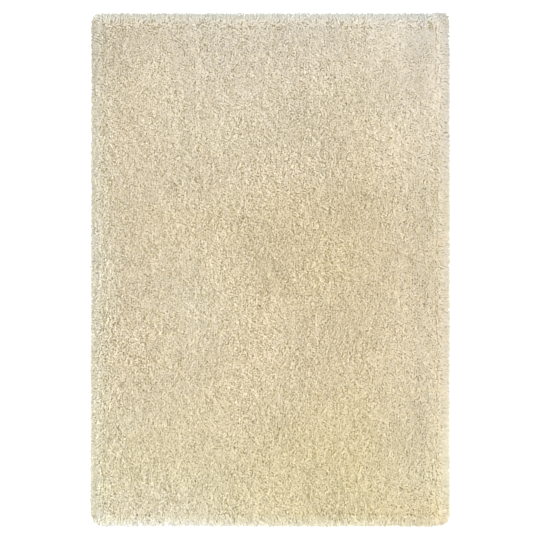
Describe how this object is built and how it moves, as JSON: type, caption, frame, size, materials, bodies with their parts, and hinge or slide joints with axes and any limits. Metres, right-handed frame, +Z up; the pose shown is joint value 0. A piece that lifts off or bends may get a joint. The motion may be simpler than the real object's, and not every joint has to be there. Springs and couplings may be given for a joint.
{
  "type": "shag rug",
  "caption": "Rectangular cream shag rug that lies flat, with a dense, lumpy cut pile and locks of yarn that splay out over its rim.",
  "frame": {"origin": "on the floor, under the middle of the rug", "axes": "+Z up out of the pile, +Y along the rug's length towards its far end, +X along its width"},
  "size_m": [1.63, 2.33, 0.037],
  "materials": {
    "cream_yarn": "soft matt cut-pile yarn, cream, with darker gaps between the tufts"
  },
  "bodies": {
    "root": {"shag_pile": "cream_yarn"}
  },
  "joints": []
}
